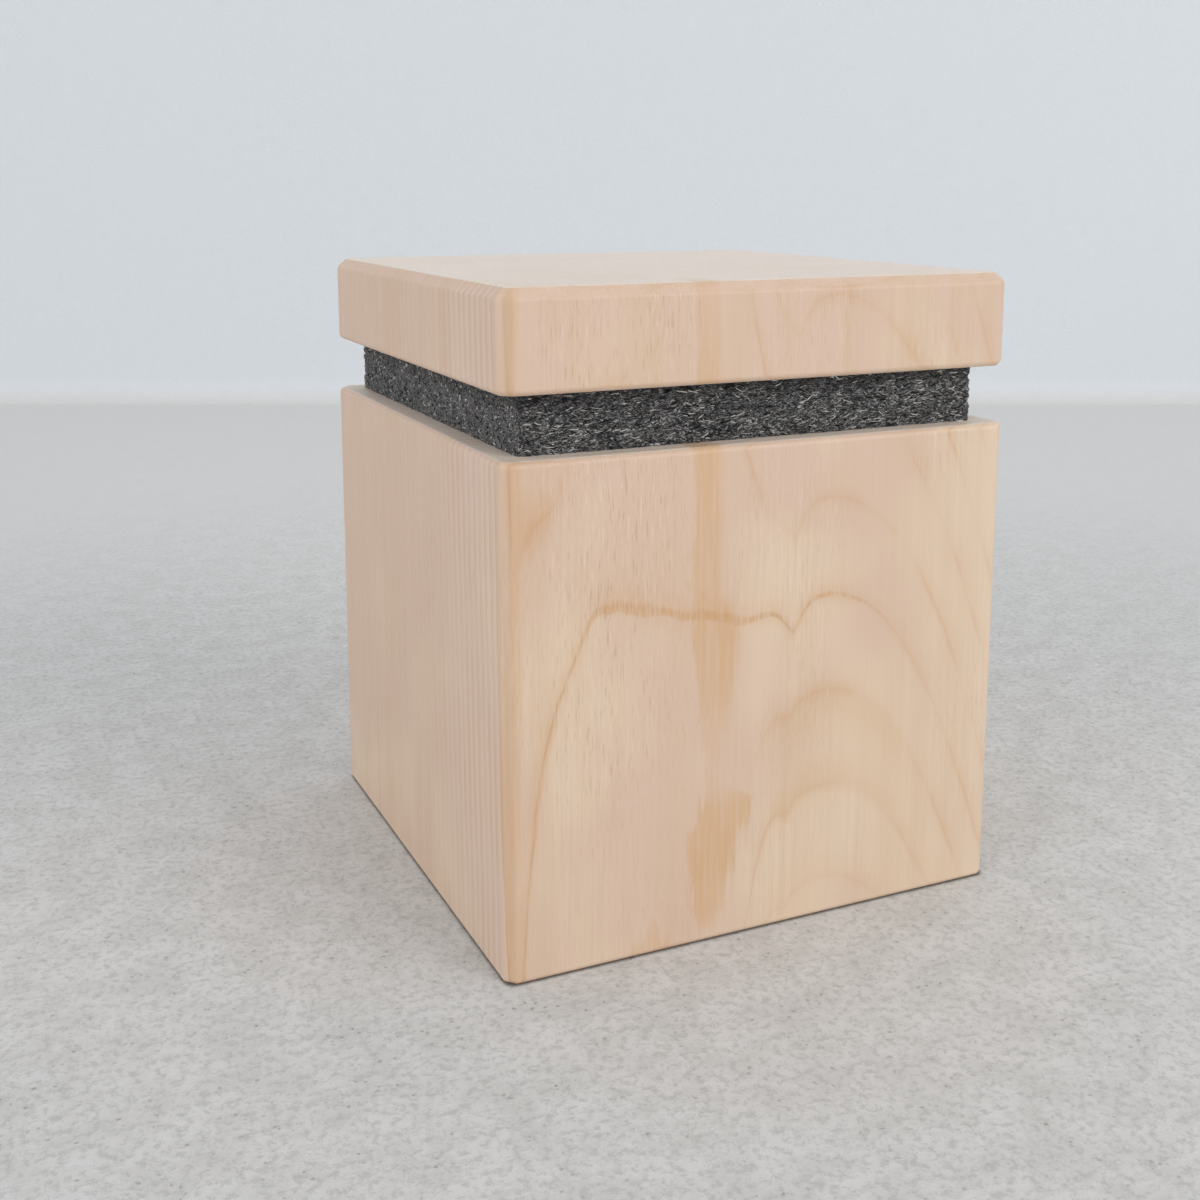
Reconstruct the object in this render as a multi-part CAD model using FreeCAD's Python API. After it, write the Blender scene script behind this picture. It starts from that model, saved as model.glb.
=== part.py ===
"""A square wooden puzzle box with a felt band between its body and its lid.

The body is one solid block with a storage cavity milled into it from above. A square lock frame sits
in a rebate in the body's rim. Four steel pins lie in channels in that frame, one to each side. The
lid carries a square plug that goes down through the felt and the frame. A groove round the plug
takes the tips of the pins, and while they lie in it the lid can't be lifted. Spinning the box throws
the pins outwards, out of the groove, and the lid comes off.

The lid turns freely on a shoulder bolt in the middle of the plug, so turning it opens nothing.

Frame: millimetres, +Z up, origin at the middle of the base. The front is -Y and the left is -X.
The pins are drawn in their released position, clear of the plug.
"""

import FreeCAD, Part

import math
import os

Vector = FreeCAD.Vector

# ---- Driving dimensions ----
SIDE = 100.0
BODY_HEIGHT = 89.5
FELT_HEIGHT = 10.5
LID_HEIGHT = 17.2
BODY_CORNER_BEVEL = 1.8
LID_CORNER_BEVEL = 2.2
LID_TOP_BEVEL = 1.8
SMALL_BEVEL = 0.7
EASED_EDGE = 1.0

# ---- Body block ----
FLOOR_THICKNESS = 12.0
CAVITY_SIDE = 70.0
CAVITY_CORNER_RADIUS = 5.0
RIM_WALL = 7.0
REBATE_CORNER_RADIUS = 3.0
FLOOR_FELT_THICKNESS = 2.0
FLOOR_FELT_GAP = 0.3

# ---- Felt band ----
FELT_INSET = 4.3
FELT_OPENING = 58.0
FELT_CORNER_RADIUS = 1.2

# ---- Lock frame ----
FRAME_REBATE_GAP = 0.2
FRAME_SIDE = SIDE - 2 * RIM_WALL - 2 * FRAME_REBATE_GAP
FRAME_OPENING = 56.0
FRAME_OPENING_RADIUS = 1.5
CHANNEL_PLATE_THICKNESS = 9.0
COVER_PLATE_THICKNESS = 3.0
CHANNEL_WIDTH = 5.4
CHANNEL_END = 41.3

# ---- Lock pins: 5 x 12 steel dowels with chamfered ends ----
PIN_RADIUS = 2.5
PIN_LENGTH = 12.0
PIN_CHAMFER = 0.5
PIN_RELEASED_TIP = 29.2
PIN_FLOOR_GAP = 0.05

# ---- Plug ----
PLUG_SIDE = 55.0
PLUG_CORNER_RADIUS = 2.0
GROOVE_DEPTH = 5.0
GROOVE_HEIGHT = 6.5
GROOVE_PIN_GAP = 0.75
RETAINING_PLATE_THICKNESS = 4.0
PLUG_FELT_THICKNESS = 2.0
PLUG_FELT_MARGIN = 0.5
SLIP_WASHER_THICKNESS = 1.0
SLIP_WASHER_RADIUS = 20.0

# ---- Lid pivot: a 6 mm shoulder bolt with an M5 thread ----
SHOULDER_RADIUS = 3.0
RUNNING_GAP = 0.05
BUSH_RADIUS = 4.5
BOLT_HEAD_RADIUS = 5.0
BOLT_HEAD_HEIGHT = 4.5
BOLT_CHAMFER = 0.5
BOLT_THREAD_RADIUS = 2.5
BOLT_THREAD_DEPTH = 0.45
BOLT_THREAD_PITCH = 0.8
BOLT_THREAD_LENGTH = 9.5
HEX_SOCKET_WIDTH = 3.0
HEX_SOCKET_DEPTH = 2.4
THRUST_WASHER_RADIUS = 5.5
THRUST_WASHER_THICKNESS = 1.0
THRUST_PLAY = 0.05
HEAD_POCKET_RADIUS = 5.8
INSERT_RADIUS = 4.0
INSERT_LENGTH = 10.0
INSERT_HOLE_DEPTH = 10.5
INSERT_GROOVE_DEPTH = 0.5
INSERT_GROOVE_HEIGHT = 0.9

# ---- Wood screws ----
SCREW_RADIUS = 1.5
SCREW_HEAD_RADIUS = 2.9
SCREW_HEAD_HEIGHT = 1.7
SCREW_HOLE_GAP = 0.05
SCREW_THREAD_PITCH = 1.3
SCREW_THREAD_DEPTH = 0.35
SCREW_POINT_LENGTH = 2.4
SCREW_SOCKET_RADIUS = 1.1
SCREW_SOCKET_DEPTH = 1.1
FRAME_SCREW_PLACE = 37.4
FRAME_SCREW_LENGTH = 20.0
PLUG_SCREW_PLACE = 16.0
PLUG_SCREW_LENGTH = 18.0

# ---- Heights that follow ----
FELT_TOP = BODY_HEIGHT + FELT_HEIGHT
LID_TOP = FELT_TOP + LID_HEIGHT
COVER_PLATE_BOTTOM = BODY_HEIGHT - COVER_PLATE_THICKNESS
FRAME_BOTTOM = COVER_PLATE_BOTTOM - CHANNEL_PLATE_THICKNESS
CHANNEL_FLOOR = COVER_PLATE_BOTTOM - CHANNEL_WIDTH
PIN_HEIGHT = CHANNEL_FLOOR + PIN_RADIUS + PIN_FLOOR_GAP
GROOVE_TOP = PIN_HEIGHT + PIN_RADIUS + GROOVE_PIN_GAP
GROOVE_BOTTOM = GROOVE_TOP - GROOVE_HEIGHT
RETAINING_PLATE_BOTTOM = GROOVE_BOTTOM - RETAINING_PLATE_THICKNESS
PLUG_FELT_BOTTOM = RETAINING_PLATE_BOTTOM - PLUG_FELT_THICKNESS
GUIDE_TOP = FELT_TOP - SLIP_WASHER_THICKNESS
THRUST_WASHER_TOP = GROOVE_TOP - THRUST_PLAY
BOLT_HEAD_TOP = THRUST_WASHER_TOP - THRUST_WASHER_THICKNESS

UP = Vector(0, 0, 1)
SCREW_SIGNS = [(1, 1), (-1, 1), (-1, -1), (1, -1)]
OVERCUT = 1.0  # how far cutting solids reach past the faces that they cut


def vertical_edges(solid):
    """The straight edges of a solid that run along Z."""
    found = []
    for edge in solid.Edges:
        ends = [v.Point for v in edge.Vertexes]
        if len(ends) == 2 and isinstance(edge.Curve, Part.Line):
            if abs(ends[0].x - ends[1].x) < 1e-6 and abs(ends[0].y - ends[1].y) < 1e-6:
                found.append(edge)
    return found


def edges_at_height(solid, height):
    """The edges of a solid that lie wholly in the level plane at that height."""
    return [e for e in solid.Edges if all(abs(v.Z - height) < 1e-6 for v in e.Vertexes)]


def square_block(side, bottom, top, corner_radius=0.0):
    """A block with a square plan, centred on the Z axis, with rounded vertical edges."""
    block = Part.makeBox(side, side, top - bottom, Vector(-side / 2, -side / 2, bottom))
    if corner_radius > 0:
        block = block.makeFillet(corner_radius, vertical_edges(block))
    return block


def bevelled_block(bottom, top, corner_bevel, top_bevel, bottom_bevel):
    """A full-size block of the box, with bevelled edges whose arrises are eased by sanding."""
    block = square_block(SIDE, bottom, top)
    block = block.makeChamfer(corner_bevel, vertical_edges(block))
    block = block.makeChamfer(top_bevel, edges_at_height(block, top))
    block = block.makeChamfer(bottom_bevel, edges_at_height(block, bottom))
    return block.makeFillet(EASED_EDGE, block.Edges)


def cylinder(radius, bottom, top, x=0.0, y=0.0):
    """A vertical cylinder between two heights."""
    return Part.makeCylinder(radius, top - bottom, Vector(x, y, bottom), UP)


def revolve_profile(points, x=0.0, y=0.0):
    """A solid turned about a vertical axis from (radius, height) points."""
    outline = Part.makePolygon([Vector(r, 0, z) for r, z in points + points[:1]])
    turned = Part.Face(outline).revolve(Vector(0, 0, 0), UP, 360)
    turned.translate(Vector(x, y, 0))
    return turned


def hexagon_prism(width_across_flats, bottom, top):
    """A vertical hexagonal prism on the Z axis."""
    corner = width_across_flats / math.sqrt(3)
    points = []
    for k in range(7):
        angle = math.radians(60 * k)
        points.append(Vector(corner * math.cos(angle), corner * math.sin(angle), bottom))
    return Part.Face(Part.makePolygon(points)).extrude(Vector(0, 0, top - bottom))


def thread_points(root, crest, start, end, pitch):
    """Profile points of a thread drawn as rings, from start to end along the axis."""
    points = []
    turns = int(abs(end - start) / pitch)
    step = math.copysign(pitch, end - start)
    for k in range(turns):
        z = start + step * (k + 0.5)
        points += [(root, z - step / 4), (crest, z), (root, z + step / 4)]
    return points


def wood_screw(x, y, head_top, length, points_up=False):
    """A countersunk screw with a hexagonal socket, threaded along most of its shank.

    The flat of the head is at head_top, and the point lies below it, or above it if points_up.
    """
    root = SCREW_RADIUS - SCREW_THREAD_DEPTH
    shank_end = -length + SCREW_POINT_LENGTH
    thread_start = -SCREW_HEAD_HEIGHT - SCREW_THREAD_PITCH / 2
    screw = revolve_profile(
        [(0, 0), (SCREW_HEAD_RADIUS, 0), (root, -SCREW_HEAD_HEIGHT)]
        + thread_points(root, SCREW_RADIUS, thread_start, shank_end, SCREW_THREAD_PITCH)
        + [(root, shank_end), (0, -length)]
    )
    screw = screw.cut(hexagon_prism(2 * SCREW_SOCKET_RADIUS, -SCREW_SOCKET_DEPTH, OVERCUT))
    if points_up:
        screw.rotate(Vector(0, 0, 0), Vector(1, 0, 0), 180)
    screw.translate(Vector(x, y, head_top))
    return screw


def screw_hole(x, y, head_top, length, points_up=False):
    """The countersunk hole that a wood_screw of that length fills."""
    shank = SCREW_RADIUS + SCREW_HOLE_GAP
    head = SCREW_HEAD_RADIUS + SCREW_HOLE_GAP
    cone_end = -SCREW_HEAD_HEIGHT - SCREW_HOLE_GAP
    hole = revolve_profile([
        (0, OVERCUT),
        (head, OVERCUT),
        (head, 0),
        (shank, cone_end),
        (shank, -length + SCREW_POINT_LENGTH / 2),
        (0, -length - SCREW_HOLE_GAP),
    ])
    if points_up:
        hole.rotate(Vector(0, 0, 0), Vector(1, 0, 0), 180)
    hole.translate(Vector(x, y, head_top))
    return hole


def at_four_corners(place, maker, *arguments, **options):
    """Four solids made by maker at (+-place, +-place)."""
    return [maker(sx * place, sy * place, *arguments, **options) for sx, sy in SCREW_SIGNS]


def frame_screw_holes():
    """Holes of the screws that hold the lock frame down in the body."""
    return at_four_corners(FRAME_SCREW_PLACE, screw_hole, BODY_HEIGHT, FRAME_SCREW_LENGTH)


def plug_screw_holes():
    """Holes of the screws that hold the plug's layers together, driven from below."""
    return at_four_corners(
        PLUG_SCREW_PLACE, screw_hole, RETAINING_PLATE_BOTTOM, PLUG_SCREW_LENGTH, points_up=True
    )


def make_body_block():
    """The solid body with its cavity and the rebate for the lock frame."""
    block = bevelled_block(0, BODY_HEIGHT, BODY_CORNER_BEVEL, SMALL_BEVEL, SMALL_BEVEL)
    above = BODY_HEIGHT + OVERCUT
    cavity = square_block(CAVITY_SIDE, FLOOR_THICKNESS, above, CAVITY_CORNER_RADIUS)
    rebate_side = SIDE - 2 * RIM_WALL
    rebate = square_block(rebate_side, FRAME_BOTTOM, above, REBATE_CORNER_RADIUS)
    return block.cut([cavity, rebate] + frame_screw_holes())


def make_cavity_floor_felt():
    """A sheet of felt lying on the cavity's floor."""
    side = CAVITY_SIDE - 2 * FLOOR_FELT_GAP
    top = FLOOR_THICKNESS + FLOOR_FELT_THICKNESS
    return square_block(side, FLOOR_THICKNESS, top, CAVITY_CORNER_RADIUS)


def frame_plate(bottom, top):
    """A square plate of the lock frame, with its square opening and screw holes."""
    plate = square_block(FRAME_SIDE, bottom, top, REBATE_CORNER_RADIUS + FRAME_REBATE_GAP)
    opening = square_block(FRAME_OPENING, bottom - OVERCUT, top + OVERCUT, FRAME_OPENING_RADIUS)
    return plate.cut([opening] + frame_screw_holes())


def make_lock_channel_plate():
    """The lower plate, with a channel for a pin in the middle of each side."""
    plate = frame_plate(FRAME_BOTTOM, COVER_PLATE_BOTTOM)
    start = FRAME_OPENING / 2 - OVERCUT
    channels = []
    for turn in range(4):
        channel = Part.makeBox(
            CHANNEL_END - start,
            CHANNEL_WIDTH,
            CHANNEL_WIDTH + OVERCUT,
            Vector(start, -CHANNEL_WIDTH / 2, CHANNEL_FLOOR),
        )
        channel.rotate(Vector(0, 0, 0), UP, 90 * turn)
        channels.append(channel)
    return plate.cut(channels)


def make_lock_cover_plate():
    """The thin upper plate that closes the channels, flush with the body's rim."""
    return frame_plate(COVER_PLATE_BOTTOM, BODY_HEIGHT)


def make_lock_frame_screws():
    """The four screws that hold the lock frame in the body."""
    return Part.makeCompound(
        at_four_corners(FRAME_SCREW_PLACE, wood_screw, BODY_HEIGHT, FRAME_SCREW_LENGTH)
    )


def make_felt_band():
    """The thick felt ring on the rim that the lid rests on."""
    side = SIDE - 2 * FELT_INSET
    band = square_block(side, BODY_HEIGHT, FELT_TOP, FELT_CORNER_RADIUS)
    opening = square_block(
        FELT_OPENING, BODY_HEIGHT - OVERCUT, FELT_TOP + OVERCUT, FRAME_OPENING_RADIUS
    )
    return band.cut(opening)


def make_lock_pin(angle):
    """A steel dowel lying along a channel, at that angle about the Z axis."""
    inner = PIN_RELEASED_TIP
    outer = inner + PIN_LENGTH
    face = PIN_RADIUS - PIN_CHAMFER
    pin = revolve_profile([
        (0, inner),
        (face, inner),
        (PIN_RADIUS, inner + PIN_CHAMFER),
        (PIN_RADIUS, outer - PIN_CHAMFER),
        (face, outer),
        (0, outer),
    ])
    pin.rotate(Vector(0, 0, 0), Vector(0, 1, 0), 90)
    pin.translate(Vector(0, 0, PIN_HEIGHT))
    pin.rotate(Vector(0, 0, 0), UP, angle)
    return pin


def make_plug_guide_block():
    """The plug's upper layer, which fits the frame's opening and holds the pivot bush."""
    block = square_block(PLUG_SIDE, GROOVE_TOP, GUIDE_TOP, PLUG_CORNER_RADIUS)
    bore = cylinder(BUSH_RADIUS, GROOVE_TOP - OVERCUT, GUIDE_TOP + OVERCUT)
    return block.cut([bore] + plug_screw_holes())


def make_plug_core():
    """The plug's middle layer, smaller all round, which leaves the groove."""
    side = PLUG_SIDE - 2 * GROOVE_DEPTH
    core = square_block(side, GROOVE_BOTTOM, GROOVE_TOP, PLUG_CORNER_RADIUS)
    pocket = cylinder(HEAD_POCKET_RADIUS, GROOVE_BOTTOM - OVERCUT, GROOVE_TOP + OVERCUT)
    return core.cut([pocket] + plug_screw_holes())


def make_plug_retaining_plate():
    """The plug's lowest layer, which the pins hold down."""
    plate = square_block(PLUG_SIDE, RETAINING_PLATE_BOTTOM, GROOVE_BOTTOM, PLUG_CORNER_RADIUS)
    pocket = cylinder(HEAD_POCKET_RADIUS, RETAINING_PLATE_BOTTOM - OVERCUT, GROOVE_BOTTOM + OVERCUT)
    return plate.cut([pocket] + plug_screw_holes())


def make_plug_screws():
    """The four screws that hold the plug's layers together."""
    return Part.makeCompound(at_four_corners(
        PLUG_SCREW_PLACE, wood_screw, RETAINING_PLATE_BOTTOM, PLUG_SCREW_LENGTH, points_up=True
    ))


def make_plug_lining_felt():
    """A thin felt sheet that hides the bolt and the screws from below."""
    side = PLUG_SIDE - 2 * PLUG_FELT_MARGIN
    return square_block(side, PLUG_FELT_BOTTOM, RETAINING_PLATE_BOTTOM, PLUG_CORNER_RADIUS)


def shoulder_bore(bottom, top):
    """A hole from bottom to top in which the bolt's shoulder turns."""
    return cylinder(SHOULDER_RADIUS + RUNNING_GAP, bottom - OVERCUT, top + OVERCUT)


def make_pivot_bush():
    """The brass sleeve that the bolt's shoulder turns in."""
    sleeve = cylinder(BUSH_RADIUS, GROOVE_TOP, GUIDE_TOP)
    return sleeve.cut(shoulder_bore(GROOVE_TOP, GUIDE_TOP))


def make_slip_washer():
    """The nylon disc on the plug that the lid's underside slides on."""
    disc = cylinder(SLIP_WASHER_RADIUS, GUIDE_TOP, FELT_TOP)
    return disc.cut(shoulder_bore(GUIDE_TOP, FELT_TOP))


def make_thrust_washer():
    """The steel washer on the bolt's head, just clear of the plug so that it turns freely."""
    disc = cylinder(THRUST_WASHER_RADIUS, BOLT_HEAD_TOP, THRUST_WASHER_TOP)
    return disc.cut(shoulder_bore(BOLT_HEAD_TOP, THRUST_WASHER_TOP))


def make_pivot_bolt():
    """The shoulder bolt that carries the plug under the lid, with its head downwards."""
    head_bottom = BOLT_HEAD_TOP - BOLT_HEAD_HEIGHT
    thread_top = FELT_TOP + BOLT_THREAD_LENGTH
    root = BOLT_THREAD_RADIUS - BOLT_THREAD_DEPTH
    bolt = revolve_profile(
        [
            (0, head_bottom),
            (BOLT_HEAD_RADIUS - BOLT_CHAMFER, head_bottom),
            (BOLT_HEAD_RADIUS, head_bottom + BOLT_CHAMFER),
            (BOLT_HEAD_RADIUS, BOLT_HEAD_TOP),
            (SHOULDER_RADIUS, BOLT_HEAD_TOP),
            (SHOULDER_RADIUS, FELT_TOP),
            (root, FELT_TOP),
        ]
        + thread_points(root, BOLT_THREAD_RADIUS, FELT_TOP, thread_top, BOLT_THREAD_PITCH)
        + [(root, thread_top), (0, thread_top)]
    )
    socket_top = head_bottom + HEX_SOCKET_DEPTH
    return bolt.cut(hexagon_prism(HEX_SOCKET_WIDTH, head_bottom - OVERCUT, socket_top))


def make_threaded_insert():
    """The brass insert in the lid that takes the bolt's thread, with three grooves round it."""
    top = FELT_TOP + INSERT_LENGTH
    insert = cylinder(INSERT_RADIUS, FELT_TOP, top)
    cuts = [cylinder(BOLT_THREAD_RADIUS, FELT_TOP - OVERCUT, top + OVERCUT)]
    half_height = INSERT_GROOVE_HEIGHT / 2
    for k in (1, 2, 3):
        z = FELT_TOP + INSERT_LENGTH * k / 4
        ring = cylinder(INSERT_RADIUS + OVERCUT, z - half_height, z + half_height)
        inner = cylinder(INSERT_RADIUS - INSERT_GROOVE_DEPTH, z - OVERCUT, z + OVERCUT)
        cuts.append(ring.cut(inner))
    return insert.cut(cuts)


def make_lid_block():
    """The solid lid, cut from the same block as the body, with the insert's blind hole."""
    lid = bevelled_block(FELT_TOP, LID_TOP, LID_CORNER_BEVEL, LID_TOP_BEVEL, SMALL_BEVEL)
    return lid.cut(cylinder(INSERT_RADIUS, FELT_TOP - OVERCUT, FELT_TOP + INSERT_HOLE_DEPTH))


NODES = {
    "body_block": make_body_block,
    "cavity_floor_felt": make_cavity_floor_felt,
    "lock_channel_plate": make_lock_channel_plate,
    "lock_cover_plate": make_lock_cover_plate,
    "lock_frame_screws": make_lock_frame_screws,
    "felt_band": make_felt_band,
    "plug_guide_block": make_plug_guide_block,
    "plug_core": make_plug_core,
    "plug_retaining_plate": make_plug_retaining_plate,
    "plug_screws": make_plug_screws,
    "plug_lining_felt": make_plug_lining_felt,
    "pivot_bush": make_pivot_bush,
    "slip_washer": make_slip_washer,
    "thrust_washer": make_thrust_washer,
    "pivot_bolt": make_pivot_bolt,
    "threaded_insert": make_threaded_insert,
    "lid_block": make_lid_block,
}
PIN_ANGLES = {"right": 0, "back": 90, "left": 180, "front": 270}


def main():
    os.makedirs("parts", exist_ok=True)
    shapes = {name: make() for name, make in NODES.items()}
    for side, angle in PIN_ANGLES.items():
        shapes["lock_pin_" + side] = make_lock_pin(angle)
    for name, shape in shapes.items():
        if not shape.isValid():
            raise ValueError(name + " isn't a valid shape")
        shape.exportStep("parts/" + name + ".step")
        print(name, len(shape.Solids), "solid(s)", round(shape.Volume, 1), "mm3")


main()
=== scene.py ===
"""Looks of a wooden puzzle box: a solid-wood body and lid with a thick felt band between them.

The wood is one solid texture in the box's own coordinates, in millimetres, so the grain runs on from
the body into the lid and every face shows the same growth rings. The felt band is a dense mesh with
loose fibres on it. Places come from the CAD frame, in metres: +Z is up and -Y is the front.
"""

import math
import random

import bmesh
import bpy
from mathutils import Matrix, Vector, noise


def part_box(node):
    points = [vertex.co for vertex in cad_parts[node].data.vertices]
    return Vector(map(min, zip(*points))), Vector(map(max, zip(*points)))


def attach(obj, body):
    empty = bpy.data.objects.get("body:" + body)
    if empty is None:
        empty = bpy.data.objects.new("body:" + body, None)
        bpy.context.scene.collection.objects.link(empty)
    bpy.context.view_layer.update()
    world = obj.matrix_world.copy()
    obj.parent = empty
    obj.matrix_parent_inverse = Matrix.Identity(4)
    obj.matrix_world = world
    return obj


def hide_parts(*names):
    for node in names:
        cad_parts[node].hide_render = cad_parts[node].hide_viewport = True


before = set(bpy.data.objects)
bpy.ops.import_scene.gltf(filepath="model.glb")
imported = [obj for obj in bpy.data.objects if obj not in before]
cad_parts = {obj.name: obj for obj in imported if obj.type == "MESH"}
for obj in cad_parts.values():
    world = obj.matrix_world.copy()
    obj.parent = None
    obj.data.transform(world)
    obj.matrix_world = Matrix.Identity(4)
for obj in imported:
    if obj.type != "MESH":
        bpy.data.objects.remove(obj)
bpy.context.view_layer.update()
MM = 0.001
MM_PER_METRE = 1000.0


# ---------------------------------------------------------------- camera, floor and light

CAMERA_PLACE = Vector((-0.1307, -0.2637, 0.1336))
LOOK_AZIMUTH = math.radians(65.4)
LOOK_ELEVATION = math.radians(-9.5)
SENSOR_WIDTH_MM = 36.0
LENS_MM = 44.2
LENS_SHIFT_Y = -0.144

WALL_DISTANCE = 0.89
WALL_HEIGHT = 3.0
WALL_BEND = 0.015
BEND_STEPS = 6
FLOOR_REACH = 5.0
STUDIO_HALF_WIDTH = 4.0

LIGHT_TARGET = Vector((0, 0, 0.05))
SKY_COLOUR = (0.88, 0.92, 0.97, 1)
SKY_STRENGTH = 0.56


def direction(azimuth, elevation):
    """The unit vector at that azimuth from +X and that height above level."""
    return Vector((
        math.cos(elevation) * math.cos(azimuth),
        math.cos(elevation) * math.sin(azimuth),
        math.sin(elevation),
    ))


def make_camera():
    """A camera beside the front left corner. Its shift keeps the box's sides upright in the frame."""
    data = bpy.data.cameras.new("camera")
    data.sensor_width = SENSOR_WIDTH_MM
    data.lens = LENS_MM
    data.shift_y = LENS_SHIFT_Y
    data.clip_start = 0.01
    data.clip_end = 30.0
    camera = bpy.data.objects.new("camera", data)
    camera.location = CAMERA_PLACE
    look = direction(LOOK_AZIMUTH, LOOK_ELEVATION)
    camera.rotation_euler = look.to_track_quat("-Z", "Y").to_euler()
    bpy.context.scene.collection.objects.link(camera)
    bpy.context.scene.camera = camera


def make_studio():
    """A pale floor with a pale wall behind the box, and a small curve where they meet."""
    forward = direction(LOOK_AZIMUTH, 0)
    sideways = Vector((-forward.y, forward.x, 0))
    foot = Vector((CAMERA_PLACE.x, CAMERA_PLACE.y, 0)) + forward * WALL_DISTANCE
    profile = [(-FLOOR_REACH, 0.0)]
    for k in range(BEND_STEPS + 1):
        angle = math.radians(90) * k / BEND_STEPS
        profile.append((WALL_BEND * (math.sin(angle) - 1), WALL_BEND * (1 - math.cos(angle))))
    profile.append((0.0, WALL_HEIGHT))
    mesh = bmesh.new()
    rows = []
    for along, height in profile:
        middle = foot + forward * along + Vector((0, 0, height))
        ends = (STUDIO_HALF_WIDTH, -STUDIO_HALF_WIDTH)
        rows.append([mesh.verts.new(middle + sideways * side) for side in ends])
    for low, high in zip(rows, rows[1:]):
        mesh.faces.new((low[0], low[1], high[1], high[0])).smooth = True
    cove = add_mesh("studio", mesh)
    cove.data.materials.append(studio_material())


def add_light(name, place, size, watts, colour):
    """A square soft light that points at the middle of the box."""
    data = bpy.data.lights.new(name, "AREA")
    data.shape = "SQUARE"
    data.size = size
    data.energy = watts
    data.color = colour
    light = bpy.data.objects.new(name, data)
    light.location = place
    light.rotation_euler = (LIGHT_TARGET - light.location).to_track_quat("-Z", "Y").to_euler()
    bpy.context.scene.collection.objects.link(light)


def make_lights():
    """A broad light from the front right, weaker ones from the left and above, and a pale sky."""
    add_light("window", (1.1, -1.7, 0.75), 1.4, 18.7, (1.0, 0.985, 0.96))
    add_light("left_fill", (-1.7, -0.6, 0.5), 1.1, 9.5, (1.0, 0.98, 0.96))
    add_light("ceiling", (0.05, 0.25, 1.5), 1.2, 4.0, (0.97, 0.985, 1.0))
    world = bpy.data.worlds.new("soft_sky")
    world.use_nodes = True
    sky = world.node_tree.nodes["Background"]
    sky.inputs["Color"].default_value = SKY_COLOUR
    sky.inputs["Strength"].default_value = SKY_STRENGTH
    bpy.context.scene.world = world
    bpy.context.scene.view_settings.view_transform = "Standard"


# ---------------------------------------------------------------- mesh and node helpers

def add_mesh(name, mesh):
    """A new object from a bmesh, which is freed."""
    data = bpy.data.meshes.new(name)
    mesh.to_mesh(data)
    mesh.free()
    piece = bpy.data.objects.new(name, data)
    bpy.context.scene.collection.objects.link(piece)
    return piece


MIX_COLOUR_A = 6
MIX_COLOUR_B = 7
MIX_COLOUR_RESULT = 2


def rgb(red, green, blue):
    """A display colour from 0 to 255 as the linear colour that shaders take."""
    linear = []
    for value in (red, green, blue):
        value /= 255
        linear.append(value / 12.92 if value <= 0.04045 else ((value + 0.055) / 1.055) ** 2.4)
    return (*linear, 1.0)


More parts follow.
